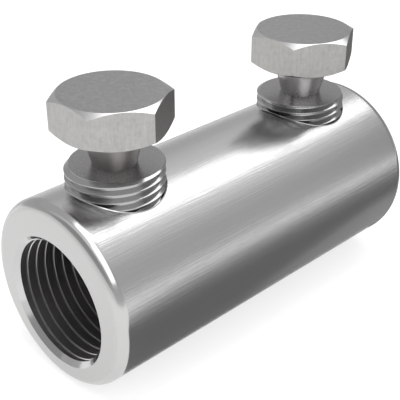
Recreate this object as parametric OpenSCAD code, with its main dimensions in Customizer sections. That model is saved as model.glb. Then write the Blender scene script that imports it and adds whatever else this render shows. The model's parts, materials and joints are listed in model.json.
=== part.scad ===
// Shear bolt connector: a round metal sleeve that joins two cable conductors end to end.
// Each conductor goes into its own bore and is clamped by one bolt, whose head snaps off at the neck
// when the bolt is tight. Millimetres, +Z up along the bolts, +X along the sleeve. The origin is the
// middle of the left bore's mouth.

/* [Sleeve] */
// Length of the sleeve
sleeve_l = 80.5; // [72:0.5:135]
// Outside diameter of the sleeve
sleeve_d = 36; // [34:0.5:45]
// Radius of the rounded outer edge at both ends
edge_r = 2.25; // [0.5:0.25:3]

/* [Conductor bores] */
// Diameter of each bore, measured over the crests of its thread
bore_d = 23.6; // [18:0.2:26]
// How much wider the countersink at a bore's mouth is than the bore, on each side
mouth_flare = 1.1; // [0.3:0.05:1.4]
// Depth of the countersink
mouth_depth = 0.5; // [0.2:0.05:2]
// How far the bores lie below the middle of the sleeve, which leaves more wall for the bolts
bore_drop = 1.35; // [0:0.05:2.25]
// Solid wall left between the ends of the two bores
centre_wall = 4.5; // [1:0.5:13]

/* [Bolt holes] */
// Distance from each end of the sleeve to the middle of its bolt
bolt_inset = 15; // [12.5:0.25:22]
// Radial gap between a bolt and its hole
hole_clearance = 0.08; // [0.02:0.01:0.1]

/* [Shear bolts] */
// Outside diameter of the bolt's thread
thread_d = 18; // [14:0.5:20]
// How far the left bolt's threaded body stands out of the sleeve
left_stand = 3.5; // [0.5:0.1:5.5]
// How far the right bolt's threaded body stands out of the sleeve
right_stand = 2.4; // [0.5:0.1:5.5]
// Height that is left between the deeper bolt's tip and the bore
tip_lift = 0.2; // [0.1:0.1:2]
// Chamfer round the tip of each bolt
tip_chamfer = 0.9; // [0.2:0.1:2]
// Diameter of the neck where it meets the threaded body, the place that shears
neck_low_d = 8; // [4.5:0.25:10]
// Diameter of the neck under the head
neck_high_d = 11.25; // [7:0.25:13.5]
// Height of the neck, from the threaded body to the head
neck_h = 6.3; // [2:0.1:11]

/* [Bolt heads] */
// Width of the hexagon across its flats
head_af = 19; // [15:0.5:24]
// Height of the head
head_h = 7; // [4.5:0.1:13]
// Slope of the round chamfers that take the corners off the head, above and below
head_slope = 30; // [15:1:40]
// Width of these chamfers at the middle of each flat
head_edge = 0.1; // [0.05:0.05:1]

/* [Hidden] */
$fn = 96;

sleeve_r = sleeve_d / 2;
sleeve_top = bore_drop + sleeve_r;
bore_r = bore_d / 2;
bore_l = (sleeve_l - centre_wall) / 2;
// How far a cutting shape reaches past the surface that it opens
overshoot = 1;
mouth_open_r = bore_r + mouth_flare * (1 + overshoot / mouth_depth);
left_bolt_x = bolt_inset;
right_bolt_x = sleeve_l - bolt_inset;
thread_r = thread_d / 2;
hole_r = thread_r + hole_clearance;
// Both bolts are alike, and the deeper one ends just above the bore
thread_l = sleeve_top + min(left_stand, right_stand) - bore_r - tip_lift;
head_corner_r = head_af / 2 / cos(30);
head_face_r = head_af / 2 - head_edge;
// The round blank of the head is wider than the hexagon, so only its chamfers cut it
blank_r = head_corner_r + overshoot;
blank_cut = (blank_r - head_face_r) * tan(head_slope);

// Half section of the round bar, with its radius across and its length upwards
module sleeve_section() {
    square([sleeve_r - edge_r, sleeve_l]);
    translate([0, edge_r])
        square([sleeve_r, sleeve_l - 2 * edge_r]);
    for (along = [edge_r, sleeve_l - edge_r])
        translate([sleeve_r - edge_r, along])
            circle(r = edge_r);
}

// The round bar, laid along X with its middle above the bores
module sleeve_bar() {
    translate([0, 0, bore_drop])
        rotate([0, 90, 0])
            rotate_extrude()
                sleeve_section();
}

// Half section of a blind bore with its countersink, which is carried on past the end face at height 0
module bore_section() {
    polygon([
        [0, -overshoot],
        [mouth_open_r, -overshoot],
        [bore_r, mouth_depth],
        [bore_r, bore_l],
        [0, bore_l]
    ]);
}

// One blind bore, open at the end face at mouth_x and reaching inwards along X
module conductor_bore(mouth_x, inwards) {
    translate([mouth_x, 0, 0])
        rotate([0, inwards * 90, 0])
            rotate_extrude()
                bore_section();
}

// One cross hole, from the middle of a bore up through the top of the sleeve
module bolt_hole(bolt_x) {
    translate([bolt_x, 0, 0])
        cylinder(r = hole_r, h = sleeve_top + overshoot);
}

// Half section of the bolt's turned body below the head, with its threaded top face at height 0
module body_section() {
    polygon([
        [0, -thread_l],
        [thread_r - tip_chamfer, -thread_l],
        [thread_r, tip_chamfer - thread_l],
        [thread_r, 0],
        [neck_low_d / 2, 0],
        [neck_high_d / 2, neck_h],
        [0, neck_h]
    ]);
}

// Half section of the round blank that takes the hexagon's corners off
module head_section() {
    polygon([
        [0, 0],
        [head_face_r, 0],
        [blank_r, blank_cut],
        [blank_r, head_h - blank_cut],
        [head_face_r, head_h],
        [0, head_h]
    ]);
}

// Hexagon head, standing on height 0, with flats that face along X
module bolt_head() {
    intersection() {
        rotate([0, 0, 30])
            cylinder(r = head_corner_r, h = head_h, $fn = 6);
        rotate_extrude()
            head_section();
    }
}

// One shear bolt, turned in one piece, with its threaded top face at height 0
module shear_bolt() {
    rotate_extrude()
        body_section();
    translate([0, 0, neck_h])
        bolt_head();
}

// A bolt in its hole, with its threaded body standing out of the sleeve
module seated_bolt(bolt_x, stand) {
    translate([bolt_x, 0, sleeve_top + stand])
        shear_bolt();
}

module connector_sleeve() {
    color([0.78, 0.78, 0.79])
        difference() {
            sleeve_bar();
            conductor_bore(0, 1);
            conductor_bore(sleeve_l, -1);
            bolt_hole(left_bolt_x);
            bolt_hole(right_bolt_x);
        }
}

module left_shear_bolt() {
    color([0.70, 0.70, 0.71])
        seated_bolt(left_bolt_x, left_stand);
}

module right_shear_bolt() {
    color([0.70, 0.70, 0.71])
        seated_bolt(right_bolt_x, right_stand);
}

connector_sleeve();
left_shear_bolt();
right_shear_bolt();
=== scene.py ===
"""Looks of a shear bolt connector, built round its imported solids.

A tin-plated sleeve with a tapped bore in each end is dressed together with the two shear bolts that clamp the
conductors. All lengths are in metres, in the frame of the solids: +X along the sleeve, +Z up along the bolts.
"""

import json
import logging
import math
from dataclasses import dataclass
from enum import Enum, IntEnum
from typing import Callable, Iterable, Sequence

import bmesh
import bpy
from bmesh.types import BMEdge, BMesh, BMFace, BMVert
from bpy.types import Material, Node, NodeSocket, NodeTree, Object, Scene
from mathutils import Euler, Matrix, Vector

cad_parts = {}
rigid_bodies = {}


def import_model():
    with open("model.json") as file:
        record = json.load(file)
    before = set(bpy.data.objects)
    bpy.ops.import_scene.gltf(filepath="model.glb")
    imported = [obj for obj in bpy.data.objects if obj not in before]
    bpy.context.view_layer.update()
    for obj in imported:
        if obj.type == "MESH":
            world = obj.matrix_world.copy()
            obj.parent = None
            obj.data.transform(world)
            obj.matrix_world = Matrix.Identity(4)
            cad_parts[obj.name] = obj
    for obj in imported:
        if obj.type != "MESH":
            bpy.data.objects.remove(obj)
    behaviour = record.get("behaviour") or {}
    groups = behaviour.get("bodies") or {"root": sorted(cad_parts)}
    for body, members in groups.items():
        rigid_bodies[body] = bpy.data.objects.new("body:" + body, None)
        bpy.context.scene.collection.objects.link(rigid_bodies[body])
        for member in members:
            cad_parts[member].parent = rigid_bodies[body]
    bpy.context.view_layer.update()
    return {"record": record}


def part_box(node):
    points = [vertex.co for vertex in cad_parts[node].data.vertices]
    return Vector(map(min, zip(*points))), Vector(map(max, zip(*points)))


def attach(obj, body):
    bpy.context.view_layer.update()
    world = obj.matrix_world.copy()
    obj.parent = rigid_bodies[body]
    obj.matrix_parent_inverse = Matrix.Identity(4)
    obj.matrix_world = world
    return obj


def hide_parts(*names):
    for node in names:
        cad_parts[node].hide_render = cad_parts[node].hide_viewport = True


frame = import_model()

log = logging.getLogger("connector")

Colour = tuple[float, float, float]
Point = tuple[float, float, float]
Stops = Sequence[tuple[float, float]]

MM = 0.001

FULL_TURN = 2 * math.pi
SIXTH_TURN = FULL_TURN / 6
ROUND_STEPS = 192
# Vertices that lie closer than this are merged
WELD = 0.0005 * MM
# An edge that turns by more than this is shaded sharp, and sooner where two finishes meet
SHARP_ANGLE = math.radians(28)
SEAM_ANGLE = math.radians(8)

# Octaves and their roughness in the noise of the tool marks, and in that of the wear
MARK_NOISE = (4.0, 0.6)
WEAR_NOISE = (5.0, 0.7)
# No mark is smoother than this
LEAST_ROUGHNESS = 0.02

# Half of a standard thread's angle, and a bolt thread's depth and crest as shares of its pitch
FLANK_ANGLE = math.radians(30)
THREAD_DEPTH = 0.613
THREAD_CREST = 1 / 8

# Steps round the sleeve's rounded edge and along its straight outside
FILLET_STEPS = 14
LENGTH_STEPS = 16
# The straight outside starts this far past the rounded edge, so that the edge's shading ends there
EDGE_MARGIN = 0.2 * MM
# Faces of the bar that lean less than this from an end face are finished like it, or like the rounded edge
FACED_LEAN = math.radians(26)
ROUNDED_LEAN = math.radians(88)
# How far the cutters of a bore and of its mouth reach past the end face, so that no two of them end together
TAP_OVERSHOOT = 0.8 * MM
MOUTH_OVERSHOOT = 0.5 * MM
# The countersink's cutter reaches this far past its own edge in the bore
MOUTH_TIP = 0.1 * MM
# A face of the bore's thread within this distance of the crests is one of them
CREST_MARGIN = 0.02 * MM
# How far a lip reaches down into the bar and in over the hole
LIP_ROOT = 0.4 * MM
# The foot of the lip's slope is sunk by this, so that the slope cuts the bar's outside cleanly
LIP_SINK = 0.03 * MM

# Half of the floor's width
FLOOR_REACH = 4.0
# Radius of the studio's grey arch over the sleeve, X of its ends, and its steps
ARCH_RADIUS = 0.7
ARCH_LEFT = -0.6
ARCH_RIGHT = 0.9
ARCH_STEPS = 48


class End(Enum):
    """An end of the sleeve, with the direction along X in which its bore runs."""

    LEFT = 1
    RIGHT = -1


class Grain(Enum):
    """How the marks of the tool lie on a surface."""

    ALONG = "along the sleeve"
    UPRIGHT = "along the bolt"
    TURNED = "round the bolt"
    FACED = "round the bore"
    FINE = "all ways"


class Work(Enum):
    """What a shape does to a body."""

    ADD = "UNION"
    CUT = "DIFFERENCE"


class Maths(Enum):
    """What a node of a material reckons with."""

    NUMBERS = "ShaderNodeMath"
    VECTORS = "ShaderNodeVectorMath"


class Course(Enum):
    """The way along which a studio wall or card changes its grey."""

    ALONG = "X"
    ACROSS = "Y"
    UPWARDS = "Z"
    OVER = "by the angle round X, from +Y over +Z"


class SleeveSkin(IntEnum):
    """Material places on the sleeve."""

    OUTSIDE = 0
    FACE = 1
    EDGE = 2
    MOUTH = 3
    BORE = 4
    GROOVE = 5
    HOLE = 6


class BoltSkin(IntEnum):
    """Material places on a bolt."""

    FLATS = 0
    TOP = 1
    CHAMFER = 2
    NECK = 3
    UNDERSIDE = 4
    SHOULDER = 5
    THREAD = 6


def reckon(
    tree: NodeTree,
    maths: Maths,
    operation: str,
    *values: NodeSocket | float | Point,
    result: str | int = 0,
) -> NodeSocket:
    """Adds a node that works something out.

    Args:
        tree: Node tree of the material.
        maths: What the node reckons with.
        operation: What it does.
        values: What goes into it, as sockets or as plain values.
        result: Which of its outputs is wanted.

    Returns:
        The socket that carries the result.
    """
    node = tree.nodes.new(maths.value)
    node.operation = operation
    for socket, value in zip(node.inputs, values):
        if isinstance(value, NodeSocket):
            tree.links.new(value, socket)
        else:
            socket.default_value = value
    return node.outputs[result]


def rescale(
    tree: NodeTree,
    value: NodeSocket,
    source: tuple[float, float] = (0.0, 1.0),
    target: tuple[float, float] = (0.0, 1.0),
) -> NodeSocket:
    """Adds a node that carries one range of values over to another.

    Args:
        tree: Node tree of the material.
        value: Socket of the value.
        source: Ends of the range that the value comes in.
        target: Ends of the range that it leaves in.

    Returns:
        The socket that carries the new value.
    """
    node = tree.nodes.new("ShaderNodeMapRange")
    for name, end in zip(("From Min", "From Max", "To Min", "To Max"), (*source, *target)):
        node.inputs[name].default_value = end
    tree.links.new(value, node.inputs["Value"])
    return node.outputs[0]


def noise(tree: NodeTree, kind: tuple[float, float], scale: float = 1.0) -> Node:
    """Adds a noise pattern.

    Args:
        tree: Node tree of the material.
        kind: Octaves of the noise, and their roughness.
        scale: Number of spots in a unit of length.

    Returns:
        The new node.
    """
    node = tree.nodes.new("ShaderNodeTexNoise")
    node.inputs["Scale"].default_value = scale
    node.inputs["Detail"].default_value, node.inputs["Roughness"].default_value = kind
    return node


@dataclass(frozen=True)
class Finish:
    """A metal surface with the fine marks that its tool left.

    Attributes:
        name: Plain name of the finish.
        tint: Colour of the metal.
        roughness: Mean roughness.
        grain: Direction of the tool marks.
        grain_width: Width of one mark.
        grain_length: Length of one mark.
        depth: Depth of the marks.
        tint_spread: Share by which the marks lighten and darken the colour.
        roughness_spread: Amount by which the marks change the roughness.
        wear: Share of the change of colour that cloudy wear adds to the marks.
        wear_size: Size of the clouds.
        axis: Point on the axis of round marks.
    """

    name: str
    tint: Colour
    roughness: float
    grain: Grain
    grain_width: float = 0.12 * MM
    grain_length: float = 8 * MM
    depth: float = 0.002 * MM
    tint_spread: float = 0.05
    roughness_spread: float = 0.05
    wear: float = 0.0
    wear_size: float = 1.0 * MM
    axis: Point = (0.0, 0.0, 0.0)

    def material(self) -> Material:
        """Makes the node material.

        Returns:
            The new material.
        """
        material = bpy.data.materials.new(self.name)
        material.use_nodes = True
        tree = material.node_tree
        shader = tree.nodes["Principled BSDF"]
        shader.inputs["Metallic"].default_value = 1.0
        place = tree.nodes.new("ShaderNodeTexCoord").outputs["Object"]
        marks = self._marks(tree, place)
        tree.links.new(self._tinted(tree, self._worn(tree, place, marks)), shader.inputs["Base Color"])
        tree.links.new(self._roughened(tree, marks), shader.inputs["Roughness"])
        tree.links.new(self._embossed(tree, marks), shader.inputs["Normal"])
        return material

    def _marks(self, tree: NodeTree, place: NodeSocket) -> NodeSocket:
        """Draws the tool marks as a grey pattern.

        Args:
            tree: Node tree of the material.
            place: Socket of the Object coordinates.

        Returns:
            The socket that carries the pattern.
        """
        pattern = noise(tree, MARK_NOISE)
        across, along = 1 / self.grain_width, 1 / self.grain_length
        centred = reckon(tree, Maths.VECTORS, "SUBTRACT", place, self.axis)
        if self.grain in (Grain.TURNED, Grain.FACED):
            plane = (1, 1, 0) if self.grain is Grain.TURNED else (0, 1, 1)
            flat = reckon(tree, Maths.VECTORS, "MULTIPLY", centred, plane)
            reach = reckon(tree, Maths.VECTORS, "LENGTH", flat, result="Value")
            pattern.noise_dimensions = "1D"
            tree.links.new(reckon(tree, Maths.NUMBERS, "MULTIPLY", reach, across), pattern.inputs["W"])
        else:
            stretch = {
                Grain.ALONG: (along, across, across),
                Grain.UPRIGHT: (across, across, along),
                Grain.FINE: (across, across, across),
            }[self.grain]
            drawn = reckon(tree, Maths.VECTORS, "MULTIPLY", centred, stretch)
            tree.links.new(drawn, pattern.inputs["Vector"])
        return pattern.outputs["Fac"]

    def _worn(self, tree: NodeTree, place: NodeSocket, marks: NodeSocket) -> NodeSocket:
        """Adds cloudy wear to the marks.

        Args:
            tree: Node tree of the material.
            place: Socket of the Object coordinates.
            marks: Socket of the marks.

        Returns:
            The socket that carries both.
        """
        if not self.wear:
            return marks
        clouds = noise(tree, WEAR_NOISE, 1 / self.wear_size)
        tree.links.new(place, clouds.inputs["Vector"])
        swing = rescale(tree, clouds.outputs["Fac"], target=(-self.wear / 2, self.wear / 2))
        return reckon(tree, Maths.NUMBERS, "ADD", marks, swing)

    def _tinted(self, tree: NodeTree, marks: NodeSocket) -> NodeSocket:
        """Lightens and darkens the colour along the marks.

        Args:
            tree: Node tree of the material.
            marks: Socket of the marks.

        Returns:
            The socket that carries the colour.
        """
        blend = tree.nodes.new("ShaderNodeMix")
        blend.data_type = "RGBA"
        # This node has like-named sockets for each kind of value, which only their identifiers tell apart
        sockets = {socket.identifier: socket for socket in (*blend.inputs, *blend.outputs)}
        sockets["A_Color"].default_value = (*(c * (1 - self.tint_spread) for c in self.tint), 1)
        sockets["B_Color"].default_value = (*(min(c * (1 + self.tint_spread), 1) for c in self.tint), 1)
        tree.links.new(marks, sockets["Factor_Float"])
        return sockets["Result_Color"]

    def _roughened(self, tree: NodeTree, marks: NodeSocket) -> NodeSocket:
        """Makes the marks rougher and smoother than the mean, and returns the socket of the roughness."""
        smooth = max(self.roughness - self.roughness_spread, LEAST_ROUGHNESS)
        return rescale(tree, marks, target=(smooth, self.roughness + self.roughness_spread))

    def _embossed(self, tree: NodeTree, marks: NodeSocket) -> NodeSocket:
        """Gives the marks their depth.

        Args:
            tree: Node tree of the material.
            marks: Socket of the marks.

        Returns:
            The socket that carries the bent normal.
        """
        bump = tree.nodes.new("ShaderNodeBump")
        bump.inputs["Strength"].default_value = 1.0
        bump.inputs["Distance"].default_value = self.depth
        tree.links.new(marks, bump.inputs["Height"])
        return bump.outputs["Normal"]


def chain(bm: BMesh, points: Sequence[Vector]) -> list[BMVert | BMEdge]:
    """Draws an open line.

    Args:
        bm: Mesh that takes the line.
        points: Its corners, in order.

    Returns:
        Its vertices and edges.
    """
    verts = [bm.verts.new(point) for point in points]
    edges = [bm.edges.new(pair) for pair in zip(verts, verts[1:])]
    return [*verts, *edges]


def pick(parts: Iterable[BMVert | BMEdge | BMFace], kind: type) -> list[BMVert | BMEdge | BMFace]:
    """Picks the parts of one kind out of a mixed list."""
    return [part for part in parts if isinstance(part, kind)]


def paint(faces: Iterable[BMFace], skin: int) -> None:
    """Gives faces a material place."""
    for face in faces:
        face.material_index = skin


def level(value: float) -> Callable[[float], float]:
    """Returns a function that is the same at every angle."""
    return lambda angle: value


@dataclass(frozen=True)
class Outline:
    """A closed line round the Z axis.

    Attributes:
        radius: Radius at an angle.
        height: Height at an angle.
    """

    radius: Callable[[float], float]
    height: Callable[[float], float]

    def bend(self, verts: Iterable[BMVert]) -> None:
        """Moves vertices onto the line, each at its own angle.

        Args:
            verts: Vertices to move.
        """
        for vert in verts:
            angle = math.atan2(vert.co.y, vert.co.x)
            reach = self.radius(angle)
            vert.co = Vector((reach * math.cos(angle), reach * math.sin(angle), self.height(angle)))


def loft(bm: BMesh, first: Outline, bands: Sequence[tuple[Outline, int]], steps: int) -> list[BMEdge]:
    """Grows bands of faces from one outline to the next.

    Args:
        bm: Mesh that takes the faces.
        first: Outline that the faces start from.
        bands: Outline that each band grows to, and the band's material place.
        steps: Number of faces in a band.

    Returns:
        The edges of the last outline.
    """
    verts = bmesh.ops.create_circle(bm, cap_ends=False, radius=1, segments=steps)["verts"]
    first.bend(verts)
    loop = list(dict.fromkeys(edge for vert in verts for edge in vert.link_edges))
    for outline, skin in bands:
        grown = bmesh.ops.extrude_edge_only(bm, edges=loop)["geom"]
        outline.bend(pick(grown, BMVert))
        paint(pick(grown, BMFace), skin)
        loop = [edge for edge in pick(grown, BMEdge) if edge.is_boundary]
    return loop


def open_edges(bm: BMesh, test: Callable[[BMVert], bool] = lambda vert: True) -> list[BMEdge]:
    """Finds the edges with one face whose ends both pass a test."""
    return [edge for edge in bm.edges if edge.is_boundary and all(test(vert) for vert in edge.verts)]


def slice_off(bm: BMesh, height: float, up: bool) -> None:
    """Cuts away what lies above or below a height.

    Args:
        bm: Mesh to cut.
        height: Height of the cut.
        up: True to cut away what lies above.
    """
    bmesh.ops.bisect_plane(
        bm,
        geom=[*bm.verts, *bm.edges, *bm.faces],
        dist=WELD,
        plane_co=(0, 0, height),
        plane_no=(0, 0, 1),
        clear_outer=up,
        clear_inner=not up,
    )


def close_mesh(bm: BMesh) -> None:
    """Merges doubles, fills what is open and turns all faces outwards.

    Args:
        bm: Mesh to close.
    """
    bmesh.ops.remove_doubles(bm, verts=bm.verts, dist=WELD)
    bmesh.ops.holes_fill(bm, edges=open_edges(bm))
    bmesh.ops.recalc_face_normals(bm, faces=bm.faces)
    bm.normal_update()


def shade(bm: BMesh) -> None:
    """Shades the faces smooth and keeps the sharp edges sharp, most of all between two finishes.

    Args:
        bm: Mesh to shade.
    """
    for face in bm.faces:
        face.smooth = True
    for edge in bm.edges:
        one_finish = len({face.material_index for face in edge.link_faces}) == 1
        limit = SHARP_ANGLE if one_finish else SEAM_ANGLE
        edge.smooth = edge.is_manifold and edge.calc_face_angle(0) < limit


def new_object(name: str, bm: BMesh) -> Object:
    """Turns a bmesh into an object at the origin.

    Args:
        name: Name of the object.
        bm: Its mesh, which is freed.

    Returns:
        The new object.
    """
    mesh = bpy.data.meshes.new(name)
    bm.to_mesh(mesh)
    bm.free()
    piece = bpy.data.objects.new(name, mesh)
    bpy.context.scene.collection.objects.link(piece)
    return piece


def combine(body: Object, shapes: Iterable[Object], work: Work) -> None:
    """Adds shapes to a body or cuts them out of it, and removes the shapes.

    Args:
        body: Object to change.
        shapes: Closed objects to add or to cut out.
        work: What is done with them.
    """
    tools = bpy.data.collections.new("shapes")
    for shape in shapes:
        tools.objects.link(shape)
    boolean = body.modifiers.new("combine", "BOOLEAN")
    boolean.operation = work.value
    boolean.solver = "EXACT"
    boolean.material_mode = "INDEX"
    boolean.operand_type = "COLLECTION"
    boolean.collection = tools
    bpy.context.view_layer.update()
    shaped = body.evaluated_get(bpy.context.evaluated_depsgraph_get())
    result = bpy.data.meshes.new_from_object(shaped)
    body.modifiers.clear()
    old = body.data
    body.data = result
    bpy.data.meshes.remove(old)
    result.name = body.name
    for shape in list(tools.objects):
        bpy.data.objects.remove(shape)
    bpy.data.collections.remove(tools)


@dataclass(frozen=True)
class ScrewThread:
    """A right-handed screw thread of 60 degrees, standing along +Z.

    Attributes:
        pitch: Height of one turn.
        inner: Radius at the bottom of the profile.
        outer: Radius at the top of the profile.
        crest: Width of the flat on the ridge.
        ridge_outside: True for a bolt, whose ridges point outwards.
        steps: Steps in one turn.
    """

    pitch: float
    inner: float
    outer: float
    crest: float
    ridge_outside: bool
    steps: int = 96

    def sweep(self, bm: BMesh, low: float, high: float, lead: float) -> list[BMFace]:
        """Winds the thread's surface from below low to above high.

        Args:
            bm: Empty mesh that takes the surface.
            low: Height that the surface has to reach down to.
            high: Height that it has to reach up to.
            lead: Height of a ridge's middle at angle 0.

        Returns:
            The new faces.
        """
        below = math.ceil((lead - low) / self.pitch) + 1
        start = lead - below * self.pitch
        turns = math.ceil((high - start) / self.pitch) + 1
        ridge, valley = (self.outer, self.inner) if self.ridge_outside else (self.inner, self.outer)
        flank = (self.outer - self.inner) * math.tan(FLANK_ANGLE)
        section = [
            (ridge, -self.crest / 2),
            (ridge, self.crest / 2),
            (valley, self.crest / 2 + flank),
            (valley, self.pitch - self.crest / 2 - flank),
            (ridge, self.pitch - self.crest / 2),
        ]
        line = chain(bm, [Vector((radius, 0, start + height)) for radius, height in section])
        bmesh.ops.spin(
            bm,
            geom=line,
            cent=(0, 0, 0),
            axis=(0, 0, 1),
            dvec=(0, 0, self.pitch / self.steps),
            angle=FULL_TURN,
            steps=self.steps,
        )
        # One turn is wound, and the others are copies of it
        turn = [*bm.verts, *bm.edges, *bm.faces]
        for number in range(1, turns):
            copy = bmesh.ops.duplicate(bm, geom=turn)["geom"]
            bmesh.ops.translate(bm, vec=(0, 0, self.pitch * number), verts=pick(copy, BMVert))
        bmesh.ops.remove_doubles(bm, verts=bm.verts, dist=WELD)
        return list(bm.faces)


@dataclass
class ConnectorSleeve:
    """The round sleeve, with a tapped bore in each end and two holes for the bolts.

    Attributes:
        length: Length along X.
        radius: Outside radius.
        axis_z: Height of its axis above the bores' axis.
        bore_radius: Radius over the crests of the bores' thread.
        bolt_places: X of each bolt hole.
        centre_wall: Wall left between the ends of the bores.
        edge_radius: Rounding of the outer edge at both ends.
        mouth_flare: How much wider the countersink is than the bore, on each side.
        mouth_depth: Depth of the countersink.
        bore_pitch: Pitch of the bores' thread.
        bore_lead: Depth of a crest of the thread at the lowest line of the bore.
        bore_crest: Width of the crest of the thread, which is wide beside its fine groove.
        bore_thread: Depth of the groove.
        hole_radius: Radius of a bolt hole.
        lip_width: Width of the lip that tapping has raised round a bolt hole.
        lip_height: Height of the lip.
        name: Name of the piece.
    """

    length: float
    radius: float
    axis_z: float
    bore_radius: float
    bolt_places: tuple[float, ...]
    centre_wall: float = 4.5 * MM
    edge_radius: float = 2.25 * MM
    mouth_flare: float = 0.95 * MM
    mouth_depth: float = 0.9 * MM
    bore_pitch: float = 2.0 * MM
    bore_lead: float = 0.84 * MM
    bore_crest: float = 1.58 * MM
    bore_thread: float = 0.3 * MM
    hole_radius: float = 9.05 * MM
    lip_width: float = 0.23 * MM
    lip_height: float = 0.07 * MM
    name: str = "dressed_sleeve"

    @property
    def bore_depth(self) -> float:
        """Depth of each bore, from its end face."""
        return (self.length - self.centre_wall) / 2

    def build(self) -> Object:
        """Makes the sleeve's mesh with its finishes.

        Returns:
            The sleeve.
        """
        sleeve = self._bar()
        cutters = [self._tap(end) for end in End]
        cutters += [self._countersink(end) for end in End]
        cutters += [self._drill(place) for place in self.bolt_places]
        lips = [self._lip(place) for place in self.bolt_places]
        self.dress([sleeve, *cutters, *lips])
        combine(sleeve, lips, Work.ADD)
        combine(sleeve, cutters, Work.CUT)
        bm = bmesh.new()
        bm.from_mesh(sleeve.data)
        close_mesh(bm)
        shade(bm)
        bm.to_mesh(sleeve.data)
        bm.free()
        return sleeve

    def _bar(self) -> Object:
        """Turns the solid bar with its rounded edges.

        Returns:
            The bar.
        """
        bm = bmesh.new()
        edge = self.edge_radius
        near = [Vector((0, 0, 0))]
        for step in range(FILLET_STEPS + 1):
            turn = math.pi / 2 * step / FILLET_STEPS
            rise = self.radius - edge * (1 - math.sin(turn))
            near.append(Vector((edge * (1 - math.cos(turn)), 0, rise)))
        far = [Vector((self.length - point.x, 0, point.z)) for point in reversed(near)]
        start = edge + EDGE_MARGIN
        span = self.length - 2 * start
        along = [start + span * step / LENGTH_STEPS for step in range(LENGTH_STEPS + 1)]
        line = chain(bm, [*near, *(Vector((x, 0, self.radius)) for x in along), *far])
        bmesh.ops.spin(
            bm, geom=line, cent=(0, 0, 0), axis=(1, 0, 0), angle=FULL_TURN, steps=ROUND_STEPS, use_merge=True
        )
        close_mesh(bm)
        for face in bm.faces:
            lean = math.acos(min(abs(face.normal.x), 1))
            rounded = SleeveSkin.EDGE if lean < ROUNDED_LEAN else SleeveSkin.OUTSIDE
            face.material_index = SleeveSkin.FACE if lean < FACED_LEAN else rounded
        bmesh.ops.translate(bm, vec=(0, 0, self.axis_z), verts=bm.verts)
        return new_object(self.name, bm)

    def _inwards(self, end: End) -> Matrix:
        """Returns the matrix that lays a shape standing along +Z into the bore of an end."""
        mouth = Matrix.Translation((0 if end is End.LEFT else self.length, 0, 0))
        return mouth @ Euler((0, end.value * math.pi / 2, 0)).to_matrix().to_4x4()

    def _tap(self, end: End) -> Object:
        """Makes the cutter for a tapped bore.

        Args:
            end: End that the bore is in.

        Returns:
            The cutter.
        """
        bm = bmesh.new()
        thread = ScrewThread(
            self.bore_pitch,
            self.bore_radius,
            self.bore_radius + self.bore_thread,
            self.bore_crest,
            ridge_outside=False,
        )
        thread.sweep(bm, -TAP_OVERSHOOT, self.bore_depth, self.bore_lead)
        slice_off(bm, self.bore_depth, up=True)
        slice_off(bm, -TAP_OVERSHOOT, up=False)
        close_mesh(bm)
        limit = self.bore_radius + CREST_MARGIN
        # The crests form the bore's wall, whose finish is darker than the tin as painted shade inside the
        # bore; the fine groove's finish is lighter as a painted highlight along its lines
        for face in bm.faces:
            crest = all(math.hypot(vert.co.x, vert.co.y) < limit for vert in face.verts)
            face.material_index = SleeveSkin.BORE if crest else SleeveSkin.GROOVE
        bmesh.ops.transform(bm, matrix=self._inwards(end), verts=bm.verts)
        return new_object("tap", bm)

    def _countersink(self, end: End) -> Object:
        """Makes the cutter for the mouth of a bore.

        Args:
            end: End that the bore is in.

        Returns:
            The cutter.
        """
        bm = bmesh.new()
        slope = self.mouth_flare / self.mouth_depth
        inside = self.mouth_depth + MOUTH_TIP
        bmesh.ops.create_cone(
            bm,
            cap_ends=True,
            segments=ROUND_STEPS,
            radius1=self.bore_radius + slope * (self.mouth_depth + MOUTH_OVERSHOOT),
            radius2=self.bore_radius - slope * MOUTH_TIP,
            depth=inside + MOUTH_OVERSHOOT,
        )
        bmesh.ops.translate(bm, vec=(0, 0, (inside - MOUTH_OVERSHOOT) / 2), verts=bm.verts)
        close_mesh(bm)
        paint(bm.faces, SleeveSkin.MOUTH)
        bmesh.ops.transform(bm, matrix=self._inwards(end), verts=bm.verts)
        return new_object("countersink", bm)

    def _saddle(self, reach: float, lift: float) -> Callable[[float], float]:
        """Returns the height, by the angle, of a ring round a bolt hole that follows the sleeve's outside."""
        base = self.axis_z + lift
        return lambda angle: base + math.sqrt(self.radius**2 - (reach * math.sin(angle)) ** 2)

    def _lip(self, place: float) -> Object:
        """Makes the low lip round a bolt hole, still closed in the middle.

        Args:
            place: X of the hole.

        Returns:
            The lip.
        """
        bm = bmesh.new()
        hole, outer = self.hole_radius, self.hole_radius + self.lip_width
        stages = (
            (outer, -LIP_ROOT),
            (outer, -LIP_SINK),
            (hole, self.lip_height),
            (hole - LIP_ROOT, self.lip_height),
        )
        lines = [Outline(level(reach), self._saddle(reach, lift)) for reach, lift in stages]
        loft(bm, lines[0], [(line, SleeveSkin.EDGE) for line in lines[1:]], ROUND_STEPS)
        close_mesh(bm)
        bmesh.ops.translate(bm, vec=(place, 0, 0), verts=bm.verts)
        return new_object("lip", bm)

    def _drill(self, place: float) -> Object:
        """Makes the cutter for a bolt hole, from the bore's axis to well above the sleeve.

        Args:
            place: X of the hole.

        Returns:
            The cutter.
        """
        bm = bmesh.new()
        low, high = (Outline(level(self.hole_radius), level(z)) for z in (0, 2 * self.radius))
        # The hole's wall takes a finish darker than the tin, painted shade inside the hole
        loft(bm, low, [(high, SleeveSkin.HOLE)], ROUND_STEPS)
        close_mesh(bm)
        bmesh.ops.translate(bm, vec=(place, 0, 0), verts=bm.verts)
        return new_object("drill", bm)

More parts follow.
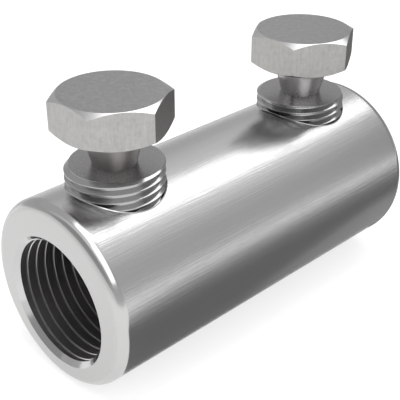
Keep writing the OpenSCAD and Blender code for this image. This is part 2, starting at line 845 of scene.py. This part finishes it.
    def dress(self, pieces: Iterable[Object]) -> None:
        """Gives the bar, its cutters and its lips the finishes, so that each leaves its own.

        Args:
            pieces: The bar, its cutters and its lips.
        """
        tin, faced = (0.55, 0.55, 0.55), (0.53, 0.528, 0.523)
        # Painted shade and highlight: the bore's wall and the bolt holes' walls are darker than the tin as
        # painted shade inside them, and the bore's fine groove is lighter as a painted highlight
        dark, groove, wall = (0.4, 0.39, 0.39), (0.7, 0.7, 0.7), (0.4, 0.4, 0.4)
        finishes = {
            SleeveSkin.OUTSIDE: Finish(
                "brushed_tin", tin, 0.21, Grain.ALONG, 0.22 * MM, 12 * MM, depth=0.028 * MM
            ),
            SleeveSkin.FACE: Finish("faced_tin", faced, 0.35, Grain.FACED, 0.2 * MM, tint_spread=0.02),
            SleeveSkin.EDGE: Finish("polished_edge", faced, 0.17, Grain.FINE, roughness_spread=0.02),
            SleeveSkin.MOUTH: Finish("polished_mouth", tin, 0.12, Grain.FACED, roughness_spread=0.02),
            # Painted shade: the bore's wall is darker than the tin
            SleeveSkin.BORE: Finish("bore_wall_painted_shade", dark, 0.35, Grain.FINE),
            # Painted highlight: the fine groove in the bore is lighter than the tin
            SleeveSkin.GROOVE: Finish("tapped_groove_painted_highlight", groove, 0.3, Grain.FINE),
            # Painted shade: the walls of the bolt holes are darker than the tin
            SleeveSkin.HOLE: Finish("hole_wall_painted_shade", wall, 0.35, Grain.FINE),
        }
        coats = [finishes[skin].material() for skin in SleeveSkin]
        for piece in pieces:
            for coat in coats:
                piece.data.materials.append(coat)


@dataclass(frozen=True)
class BoltMake:
    """What sets one bolt apart from the other.

    Attributes:
        side: Side of the sleeve that it sits on.
        lead: Height of a ridge of its thread at angle 0, from the top of the threaded body.
        neck_painted_light_tint: Colour of its neck.
        neck_roughness: Roughness of its neck.
    """

    side: str
    lead: float
    # Painted light and shade: the left bolt's neck is darker as painted shade, and the right bolt's lighter
    # as a painted highlight
    neck_painted_light_tint: Colour
    neck_roughness: float


@dataclass
class ShearBolt:
    """A bolt turned in one piece: a hexagon head on a conical neck on a threaded body.

    Attributes:
        make: What sets it apart from the other bolt.
        place: X of the bolt's axis.
        low: Height of its tip.
        high: Height of its top.
        flats: Width of the hexagon across its flats.
        head_height: Height of the head.
        neck_height: Height of the neck.
        neck_low: Radius at the foot of the neck.
        neck_high: Radius under the head.
        thread_radius: Outside radius of the thread.
        pitch: Pitch of the thread.
        tip_chamfer: Chamfer round the tip.
        chamfer: Slope of the round chamfers on the head.
        edge_break: Width of these chamfers at the middle of each flat.
        head_steps: Steps round the neck and the head.
    """

    make: BoltMake
    place: float
    low: float
    high: float
    flats: float
    head_height: float = 7.0 * MM
    neck_height: float = 6.3 * MM
    neck_low: float = 4.0 * MM
    neck_high: float = 5.625 * MM
    thread_radius: float = 9.0 * MM
    pitch: float = 1.5 * MM
    tip_chamfer: float = 0.9 * MM
    chamfer: float = math.radians(30)
    edge_break: float = 0.1 * MM
    head_steps: int = 120

    @property
    def shoulder_z(self) -> float:
        """Height of the threaded body's top face."""
        return self.high - self.head_height - self.neck_height

    @property
    def disc_radius(self) -> float:
        """Radius of the head's flat faces, inside the chamfers."""
        return self.flats / 2 - self.edge_break

    def build(self) -> Object:
        """Makes the bolt's mesh with its finishes. Its shoulder stays at height 0 until the mesh is done.

        Returns:
            The bolt.
        """
        bm = bmesh.new()
        self._thread(bm)
        self._neck_and_head(bm)
        # The shoulder lies between the thread's cut end and the foot of the neck
        rims = open_edges(bm, lambda vert: abs(vert.co.z) < WELD)
        shoulder = bmesh.ops.triangle_fill(bm, use_beauty=True, edges=rims)["geom"]
        paint(pick(shoulder, BMFace), BoltSkin.SHOULDER)
        close_mesh(bm)
        shade(bm)
        bmesh.ops.translate(bm, vec=(self.place, 0, self.shoulder_z), verts=bm.verts)
        bolt = new_object(f"dressed_{self.make.side}_bolt", bm)
        self.dress(bolt)
        return bolt

    def _thread(self, bm: BMesh) -> None:
        """Winds the thread below height 0 and closes its tip.

        Args:
            bm: Mesh that takes the thread.
        """
        bottom = self.low - self.shoulder_z
        root = self.thread_radius - THREAD_DEPTH * self.pitch
        thread = ScrewThread(
            self.pitch, root, self.thread_radius, THREAD_CREST * self.pitch, ridge_outside=True
        )
        paint(thread.sweep(bm, bottom, 0, self.make.lead), BoltSkin.THREAD)
        slice_off(bm, 0, up=True)
        slice_off(bm, bottom, up=False)
        # What stands out past the cone of the tip's chamfer is drawn in to it
        for vert in bm.verts:
            limit = self.thread_radius - self.tip_chamfer + (vert.co.z - bottom)
            reach = math.hypot(vert.co.x, vert.co.y)
            if reach > limit:
                vert.co.x *= limit / reach
                vert.co.y *= limit / reach
        tip = bmesh.ops.holes_fill(bm, edges=open_edges(bm, lambda vert: vert.co.z < bottom + WELD))
        paint(tip["faces"], BoltSkin.SHOULDER)

    def _hexagon(self, angle: float) -> float:
        """Returns the hexagon's radius at an angle."""
        turn = (angle + SIXTH_TURN / 2) % SIXTH_TURN - SIXTH_TURN / 2
        return self.flats / 2 / math.cos(turn)

    def _drop(self, angle: float) -> float:
        """Returns how much a chamfer takes off the hexagon's height at an angle."""
        return (self._hexagon(angle) - self.disc_radius) * math.tan(self.chamfer)

    def _neck_and_head(self, bm: BMesh) -> None:
        """Raises the neck from height 0 and sets the head on it.

        Args:
            bm: Mesh that takes them.
        """
        disc = level(self.disc_radius)
        under, top = self.neck_height, self.neck_height + self.head_height
        bands = [
            (Outline(level(self.neck_high), level(under)), BoltSkin.NECK),
            (Outline(disc, level(under)), BoltSkin.UNDERSIDE),
            (Outline(self._hexagon, lambda angle: under + self._drop(angle)), BoltSkin.UNDERSIDE),
            (Outline(self._hexagon, lambda angle: top - self._drop(angle)), BoltSkin.FLATS),
            (Outline(disc, level(top)), BoltSkin.CHAMFER),
        ]
        crown = loft(bm, Outline(level(self.neck_low), level(0)), bands, self.head_steps)
        paint(bmesh.ops.holes_fill(bm, edges=crown)["faces"], BoltSkin.TOP)

    def dress(self, bolt: Object) -> None:
        """Gives the bolt its finishes.

        Args:
            bolt: The bolt, whose faces have their material places.
        """
        drawn, faced, bright = (0.4, 0.395, 0.386), (0.375, 0.375, 0.375), (0.56, 0.56, 0.56)
        shaded, shouldered, rolled = (0.58, 0.575, 0.575), (0.34, 0.335, 0.335), (0.42, 0.42, 0.42)
        make, axis = self.make, (self.place, 0.0, 0.0)
        finishes = {
            BoltSkin.FLATS: Finish(
                "drawn_flats",
                drawn,
                0.33,
                Grain.UPRIGHT,
                0.25 * MM,
                4 * MM,
                depth=0.004 * MM,
                tint_spread=0.22,
                wear=1.2,
            ),
            BoltSkin.TOP: Finish("faced_head", faced, 0.35, Grain.FINE, 0.45 * MM, tint_spread=0.2, wear=1.6),
            BoltSkin.CHAMFER: Finish("turned_chamfer", bright, 0.3, Grain.FINE),
            # The neck's colour, set for each bolt, is painted shade on the left bolt and a painted highlight
            # on the right one
            BoltSkin.NECK: Finish(
                "turned_neck_painted_light", make.neck_painted_light_tint, make.neck_roughness, Grain.TURNED, axis=axis
            ),
            BoltSkin.UNDERSIDE: Finish("turned_underside", shaded, 0.3, Grain.TURNED, axis=axis),
            BoltSkin.SHOULDER: Finish(
                "turned_shoulder", shouldered, 0.28, Grain.FINE, 0.4 * MM, tint_spread=0.12, wear=0.6
            ),
            BoltSkin.THREAD: Finish("rolled_thread", rolled, 0.15, Grain.FINE),
        }
        for skin in BoltSkin:
            bolt.data.materials.append(finishes[skin].material())


# The two bolts are alike, but the left bolt's neck is darker and slightly brown as painted shade, and the
# right bolt's lighter as a painted highlight
BOLT_MAKES = (
    BoltMake("left", -0.02 * MM, (0.37, 0.355, 0.35), 0.32),
    BoltMake("right", 0.55 * MM, (0.52, 0.51, 0.51), 0.21),
)


@dataclass(frozen=True)
class SoftBox:
    """A lamp with a large square face.

    Attributes:
        name: Name of the lamp.
        place: Where it stands.
        aim: Point that it faces.
        size: Width and height of its face.
        glow: Brightness of its face, where 1 is white.
    """

    name: str
    place: Point
    aim: Point
    size: tuple[float, float]
    glow: float

    def hang(self) -> None:
        """Adds the lamp to the scene."""
        lamp = bpy.data.lights.new(self.name, "AREA")
        lamp.shape = "RECTANGLE"
        lamp.size, lamp.size_y = self.size
        lamp.energy = self.glow * math.pi * self.size[0] * self.size[1]
        holder = bpy.data.objects.new(self.name, lamp)
        holder.location = self.place
        holder.rotation_euler = (Vector(self.aim) - Vector(self.place)).to_track_quat("-Z", "Y").to_euler()
        holder.visible_camera = False
        bpy.context.scene.collection.objects.link(holder)


@dataclass(frozen=True)
class GreyFace:
    """The grey of a studio wall or card, which changes along one course.

    Attributes:
        name: Name of the surface.
        course: The way along which it changes.
        stops: Places on the course and the grey at each, where 1 is white.
    """

    name: str
    course: Course
    stops: Stops

    def material(self) -> Material:
        """Makes the node material.

        Returns:
            The new material.
        """
        material = bpy.data.materials.new(self.name)
        material.use_nodes = True
        tree = material.node_tree
        tree.nodes.clear()
        first, last = self.stops[0][0], self.stops[-1][0]
        ramp = tree.nodes.new("ShaderNodeValToRGB")
        points = ramp.color_ramp.elements
        # A new ramp has two points: the others are added first, and then all are put in their places
        while len(points) < len(self.stops):
            points.new(0.5)
        for point, (where, grey) in zip(points, self.stops):
            point.position = (where - first) / (last - first)
            point.color = (grey, grey, grey, 1)
        tree.links.new(rescale(tree, self._where(tree), source=(first, last)), ramp.inputs["Fac"])
        glow = tree.nodes.new("ShaderNodeEmission")
        tree.links.new(ramp.outputs["Color"], glow.inputs["Color"])
        out = tree.nodes.new("ShaderNodeOutputMaterial")
        tree.links.new(glow.outputs[0], out.inputs["Surface"])
        return material

    def _where(self, tree: NodeTree) -> NodeSocket:
        """Measures the place on the course.

        Args:
            tree: Node tree of the material.

        Returns:
            The socket that carries the place, in metres or radians.
        """
        place = tree.nodes.new("ShaderNodeTexCoord")
        split = tree.nodes.new("ShaderNodeSeparateXYZ")
        tree.links.new(place.outputs["Object"], split.inputs[0])
        if self.course is not Course.OVER:
            return split.outputs[self.course.value]
        return reckon(tree, Maths.NUMBERS, "ARCTAN2", split.outputs["Z"], split.outputs["Y"])


def background_rays(tree: NodeTree) -> NodeSocket:
    """Finds the rays that show the background: those of the camera, of metal and of glass.

    Args:
        tree: Node tree of the background.

    Returns:
        The socket that is 1 for such a ray.
    """
    rays = tree.nodes.new("ShaderNodeLightPath").outputs
    metal = reckon(tree, Maths.NUMBERS, "MAXIMUM", rays["Is Camera Ray"], rays["Is Glossy Ray"])
    return reckon(tree, Maths.NUMBERS, "MAXIMUM", metal, rays["Is Transmission Ray"])


def show_in_metal(card: Object, grey: GreyFace) -> None:
    """Makes a wall or card show in the metal alone.

    Args:
        card: The wall or card.
        grey: Its grey.
    """
    card.data.materials.append(grey.material())
    card.visible_camera = False
    card.visible_diffuse = False
    card.visible_transmission = False
    card.visible_shadow = False


def hang_card(corners: Iterable[Point], grey: GreyFace) -> None:
    """Hangs a flat card that shows in the metal alone.

    Args:
        corners: Its corners, in order.
        grey: Its grey, whose name it takes.
    """
    bm = bmesh.new()
    bm.faces.new([bm.verts.new(corner) for corner in corners])
    show_in_metal(new_object(grey.name, bm), grey)


@dataclass(frozen=True)
class FloorCard:
    """A card on the floor, which shows in the metal alone.

    Attributes:
        name: Name of the card.
        outline: Its corners, in millimetres.
        greys: Places on its course, in millimetres, and the grey at each.
        lift: Its height above the floor, which puts one card over another.
        course: The way along which its grey changes.
    """

    name: str
    outline: Sequence[tuple[float, float]]
    greys: Stops
    lift: float
    course: Course = Course.ACROSS

    def lay(self, floor_z: float) -> None:
        """Lays the card down.

        Args:
            floor_z: Height of the floor.
        """
        corners = [(x * MM, y * MM, floor_z + self.lift) for x, y in self.outline]
        stops = tuple((place * MM, grey) for place, grey in self.greys)
        hang_card(corners, GreyFace(self.name, self.course, stops))


# Grey of the arch by its angle in degrees, from the floor behind the sleeve to the floor before it
ARCH_GREYS: Stops = (
    (0, 0.61),
    (22, 0.53),
    (38, 0.7),
    (54, 0.81),
    (68, 0.89),
    (112, 1.06),
    (120, 0.97),
    (126, 0.86),
    (132, 0.72),
    (138, 0.61),
    (144, 0.575),
    (158, 0.56),
    (168, 0.6),
    (180, 0.73),
)
# X of the walls that close the arch, and their grey by the height above the floor
END_WALLS: dict[str, tuple[float, Stops]] = {
    "left_wall": (ARCH_LEFT, ((0.0, 1.0), (0.13, 1.0), (0.19, 0.45), (0.4, 0.4), (ARCH_RADIUS, 0.4))),
    "right_wall": (ARCH_RIGHT, ((0.0, 0.39), (ARCH_RADIUS, 0.39))),
}
# The card that the left sides of the bolts mirror, behind the lamps, and its grey by the height
SHADE_CARD: Sequence[Point] = ((-0.3, 0.5, 0.25), (0.14, 0.5, 0.25), (0.14, 0.125, 0.6), (-0.3, 0.125, 0.6))
SHADE_GREYS: Stops = ((0.25, 0.58), (0.6, 0.58))
# The cards that the lower and the far side of the sleeve mirror. The two before the sleeve are painted
# shadow: the object's shadow on the floor, darkest near the sleeve and lighter further off and towards its
# right end.
BACK_EDGE, RIGHT_EDGE = ARCH_RADIUS / MM, ARCH_RIGHT / MM
FLOOR_CARDS = (
    FloorCard(
        "back_card",
        ((0, 60), (RIGHT_EDGE, 60), (RIGHT_EDGE, BACK_EDGE), (0, BACK_EDGE)),
        ((60, 0.95), (130, 0.88), (260, 0.77), (BACK_EDGE, 0.61)),
        0.1 * MM,
    ),
    # Painted shadow: the object's shadow on the floor before the sleeve and right of it, darkest near the
    # sleeve
    FloorCard(
        "painted_shadow_card",
        (
            (7, -11),
            (8, -50),
            (33, -75),
            (67, -110),
            (92, -160),
            (320, -160),
            (320, 90),
            (83, 90),
            (83, -11),
        ),
        ((-160, 0.8), (-84, 0.47), (-59, 0.285), (-40, 0.195), (-12, 0.195), (0, 0.15), (90, 0.15)),
        0.2 * MM,
    ),
    # Painted shadow along the foot of the sleeve, lighter towards its right end
    FloorCard(
        "painted_foot_shadow_card",
        ((12, -11), (39, -16), (62, -22), (89, -28), (120, -31), (120, -11)),
        ((12, 0.2), (38, 0.215), (48, 0.27), (60, 0.31), (86, 0.37), (120, 0.39)),
        0.3 * MM,
        Course.ALONG,
    ),
)
# One lamp hangs straight above the floor, and one stands before the sleeve
LAMPS = (
    SoftBox("top_box", (0.3, -0.0315, 0.6), (0.3, -0.0315, 0.0), (1.0, 0.287), 1.8),
    SoftBox("key_box", (-0.1, -0.4125, 0.443), (-0.1, -0.1075, 0.048), (0.42, 0.51), 1.85),
)


@dataclass
class Studio:
    """The camera, the floor, the light and the grey walls that the metal mirrors.

    Attributes:
        floor_z: Height of the floor.
        camera_place: Where the camera stands.
        azimuth: Direction it looks in, from +Y towards +X.
        elevation: How far it looks down.
        lens: Focal length in millimetres.
        sensor: Width of the sensor in millimetres.
        floor_grey: Grey of the floor.
        floor_glow: What the floor adds to its own grey where it is seen.
        sky_grey: Light of the world, which is seen as white.
    """

    floor_z: float
    camera_place: Point = (-74.959 * MM, -112.322 * MM, 95.073 * MM)
    azimuth: float = math.radians(44.658)
    elevation: float = math.radians(29.2)
    lens: float = 82.31
    sensor: float = 36
    floor_grey: float = 0.55
    floor_glow: float = 0.6
    sky_grey: float = 0.7

    def build(self) -> None:
        """Sets up the camera, the floor, the world, the walls, the cards and the lamps."""
        scene = bpy.context.scene
        scene.view_settings.view_transform = "Standard"
        self._camera(scene)
        self._floor()
        self._world(scene)
        self._arch()
        self._end_walls()
        hang_card(SHADE_CARD, GreyFace("shade_card", Course.UPWARDS, SHADE_GREYS))
        for card in FLOOR_CARDS:
            card.lay(self.floor_z)
        for lamp in LAMPS:
            lamp.hang()

    def _camera(self, scene: Scene) -> None:
        """Stands the camera where the photograph was taken from.

        Args:
            scene: Scene that takes the camera.
        """
        lens = bpy.data.cameras.new("camera")
        lens.sensor_width = self.sensor
        lens.lens = self.lens
        lens.clip_start = 1 * MM
        camera = bpy.data.objects.new("camera", lens)
        flat, down = math.cos(self.elevation), math.sin(self.elevation)
        look = Vector((flat * math.sin(self.azimuth), flat * math.cos(self.azimuth), -down))
        camera.location = self.camera_place
        camera.rotation_euler = look.to_track_quat("-Z", "Y").to_euler()
        scene.collection.objects.link(camera)
        scene.camera = camera

    def _floor(self) -> None:
        """Lays the pale floor."""
        bm = bmesh.new()
        bmesh.ops.create_grid(bm, x_segments=1, y_segments=1, size=FLOOR_REACH)
        bmesh.ops.translate(bm, vec=(0, 0, self.floor_z), verts=bm.verts)
        floor = new_object("floor", bm)
        material = bpy.data.materials.new("pale_floor")
        material.use_nodes = True
        tree = material.node_tree
        shader = tree.nodes["Principled BSDF"]
        shader.inputs["Base Color"].default_value = (*[self.floor_grey] * 3, 1)
        shader.inputs["Roughness"].default_value = 1.0
        shader.inputs["Specular IOR Level"].default_value = 0.0
        shader.inputs["Emission Color"].default_value = (1, 1, 1, 1)
        glow = reckon(tree, Maths.NUMBERS, "MULTIPLY", background_rays(tree), self.floor_glow)
        tree.links.new(glow, shader.inputs["Emission Strength"])
        floor.data.materials.append(material)

    def _world(self, scene: Scene) -> None:
        """Surrounds the scene with soft light, which the camera sees as white.

        Args:
            scene: Scene that takes the world.
        """
        world = bpy.data.worlds.new("studio")
        world.use_nodes = True
        tree = world.node_tree
        tree.nodes.clear()
        mix = tree.nodes.new("ShaderNodeMixShader")
        tree.links.new(background_rays(tree), mix.inputs["Fac"])
        for socket, grey in zip(mix.inputs[1:], (self.sky_grey, 1)):
            light = tree.nodes.new("ShaderNodeBackground")
            light.inputs["Color"].default_value = (grey, grey, grey, 1)
            tree.links.new(light.outputs[0], socket)
        out = tree.nodes.new("ShaderNodeOutputWorld")
        tree.links.new(mix.outputs[0], out.inputs["Surface"])
        scene.world = world

    def _arch(self) -> None:
        """Arches the grey wall over the sleeve, from the floor behind it to the floor before it."""
        bm = bmesh.new()
        line = chain(bm, [Vector((x, ARCH_RADIUS, 0)) for x in (ARCH_LEFT, ARCH_RIGHT)])
        bmesh.ops.spin(bm, geom=line, cent=(0, 0, 0), axis=(1, 0, 0), angle=math.pi, steps=ARCH_STEPS)
        stops = tuple((math.radians(angle), grey) for angle, grey in ARCH_GREYS)
        show_in_metal(new_object("grey_arch", bm), GreyFace("grey_wall", Course.OVER, stops))

    def _end_walls(self) -> None:
        """Closes both ends of the arch: the right one is dark, and the left one is white near the floor."""
        reach = ARCH_RADIUS
        outline = ((-reach, 0), (reach, 0), (reach, reach), (-reach, reach))
        for name, (x, greys) in END_WALLS.items():
            corners = [(x, y, self.floor_z + z) for y, z in outline]
            stops = tuple((self.floor_z + z, grey) for z, grey in greys)
            hang_card(corners, GreyFace(name, Course.UPWARDS, stops))


def dress_part(piece: Object, node: str, body: str) -> None:
    """Puts a finished piece in the place of its solid.

    Args:
        piece: The finished piece.
        node: Node that it stands for.
        body: Body that it rides on.
    """
    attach(piece, body)
    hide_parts(node)
    log.info("%s: %d faces", piece.name, len(piece.data.polygons))


def main() -> None:
    """Builds the connector and its studio."""
    logging.basicConfig(level=logging.INFO, format="%(name)s: %(message)s")
    low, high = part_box("connector_sleeve")
    bolts = []
    for make in BOLT_MAKES:
        bolt_low, bolt_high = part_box(f"{make.side}_shear_bolt")
        middle, flats = (bolt_low.x + bolt_high.x) / 2, bolt_high.x - bolt_low.x
        bolts.append(ShearBolt(make, middle, bolt_low.z, bolt_high.z, flats))
    bore = next(mount for mount in frame["record"]["mounts"] if mount["name"] == "left_conductor_bore")
    sleeve = ConnectorSleeve(
        length=high.x - low.x,
        radius=(high.y - low.y) / 2,
        axis_z=(high.z + low.z) / 2,
        bore_radius=bore["dims"]["r_mm"] * MM,
        bolt_places=tuple(bolt.place for bolt in bolts),
    )
    dress_part(sleeve.build(), "connector_sleeve", "sleeve")
    for bolt in bolts:
        side = bolt.make.side
        dress_part(bolt.build(), f"{side}_shear_bolt", f"{side}_bolt")
    Studio(floor_z=low.z).build()


if __name__ == "__main__":
    main()
